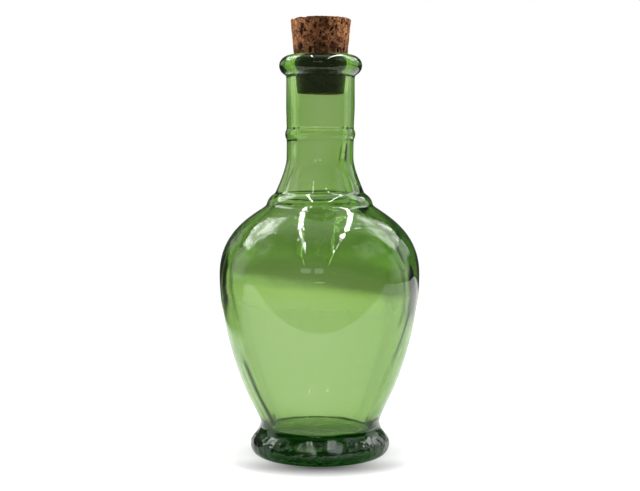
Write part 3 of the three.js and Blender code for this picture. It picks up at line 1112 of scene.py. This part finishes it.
# The backdrop: slant, half width and height, foot, heights where its parts blend, their
# brightness, and the soft lamp on it
BACKDROP_SLANT = 0.25
BACKDROP_SIZE = (0.8, 0.6)
BACKDROP_FOOT = -0.02
BACKDROP_BAND_FOOT = (0.035, 0.09)
BACKDROP_CREAM = 0.92
BACKDROP_PALE = 0.6
BAND_SLOPE_FAR = 0.3
BACKDROP_TOP = (0.40, 0.46)
SIDE_LAMP_ACROSS = (-0.48, 0.10, 0.06)
SIDE_LAMP_HEIGHT = (0.33, 0.08, 0.06)
SIDE_LAMP_GLOW = 0.55
CREAM_PART = (0.05, 0.01, 0.05)
CREAM = (1, 1, 0.86, 1)

# The dim strip close behind: half width, foot, top and distance, where it fades, and
# where its dark ends start and fade
DIM_STRIP = (0.30, 0.02, 0.16, 0.13)
STRIP_DIM = 0.37
BAND_SLOPE_NEAR = 0.18
STRIP_FOOT = (0.078, 0.088)
STRIP_TOP = (0.100, 0.117)
STRIP_SPAN = (0, 0.145, 0.03)
STRIP_ENDS = (0.085, 0.10)
STRIP_DARK = 0.02
STRIP_END_FOOT = (0.028, 0.045)
STRIP_END_TOP = (0.126, 0.138)

# Big soft lights at both sides behind folded cloth, in degrees: turn from straight back,
# half width, lowest and highest rise, and brightness
SIDE_LIGHTS = (
    (-56, 17, 29, 54, 6.0),
    (54, 16, 27, 50, 3.8),
    (-92, 12, 30, 46, 0.7),
    (105, 20, 30, 46, 0.8),
    (45, 11, 13, 24, 1.3),
)
SIDE_LIGHT_SOFT_ACROSS = 7
SIDE_LIGHT_SOFT_UP = 6
CLOTH_FOLDS = 1 / 7
CLOTH_UNEVEN = (0.38, 0.62, 0.45, 1.35)

# Panes of the window in front: slope across, half width, lowest and highest rise, brightness
WINDOWS = (
    (-0.28, 0.10, 8.5, 15, 2.0),
    (-0.01, 0.07, 8.5, 15, 2.0),
    (-0.07, 0.12, -2, 2, 0.12),
)
PANE_SOFT_ACROSS = 0.02
PANE_SOFT_UP = 1.0

# Least divisors, which keep slopes finite straight beside the bottle and level with it
LEAST_BACK = 0.01
LEAST_UP = 0.05

# Ceiling lamps, by their slopes from straight up: middle, slant, half width,
# centre from front to back, and half length
LAMPS = (
    (-0.245, 0.11, 0.010, -0.1, 0.9),
    (0.36, 0.0, 0.011, 0.05, 1.0),
)

# How far up the lamps start, their brightness, their tapered and soft ends, and the size
# and the contrast of the grain in their covers
LAMPS_ABOVE = 0.3
LAMP_GLOW = 60
LAMP_THROUGH_GLASS = 0.35
LAMP_TAPER = (-0.75, -0.35)
LAMP_TIP = 0.004
LAMP_SOFT_ACROSS = 0.012
LAMP_SOFT_ALONG = 0.1
LAMP_GRAIN = (0.006, 0.014)
LAMP_COVER = (0.46, 0.56, 0.06, 1.5)


class BOTTLE_PT_panel(bpy.types.Panel):
    """Bottle, cork and studio in one place"""

    bl_idname = "BOTTLE_PT_panel"
    bl_label = "Corked Bottle"
    bl_space_type = "VIEW_3D"
    bl_region_type = "UI"
    bl_category = "Bottle"

    def draw(self, context):
        for settings, operator in (
            ("bottle_glass", BOTTLE_OT_blow_glass),
            ("bottle_cork", BOTTLE_OT_cut_cork),
            ("bottle_studio", BOTTLE_OT_set_studio),
        ):
            box = self.layout.box()
            group = getattr(context.scene, settings)
            for name in type(group).__annotations__:
                box.prop(group, name)
            box.operator(operator.bl_idname)


CLASSES = (
    GlassSettings,
    CorkSettings,
    StudioSettings,
    BOTTLE_OT_blow_glass,
    BOTTLE_OT_cut_cork,
    BOTTLE_OT_set_studio,
    BOTTLE_PT_panel,
)


def register():
    for cls in CLASSES:
        bpy.utils.register_class(cls)
    bpy.types.Scene.bottle_glass = bpy.props.PointerProperty(type=GlassSettings)
    bpy.types.Scene.bottle_cork = bpy.props.PointerProperty(type=CorkSettings)
    bpy.types.Scene.bottle_studio = bpy.props.PointerProperty(type=StudioSettings)


def unregister():
    del bpy.types.Scene.bottle_studio
    del bpy.types.Scene.bottle_cork
    del bpy.types.Scene.bottle_glass
    for cls in reversed(CLASSES):
        bpy.utils.unregister_class(cls)


def main():
    register()
    bpy.ops.bottle.blow_glass()
    bpy.ops.bottle.cut_cork()
    bpy.ops.bottle.set_studio()


if __name__ == "__main__":
    main()
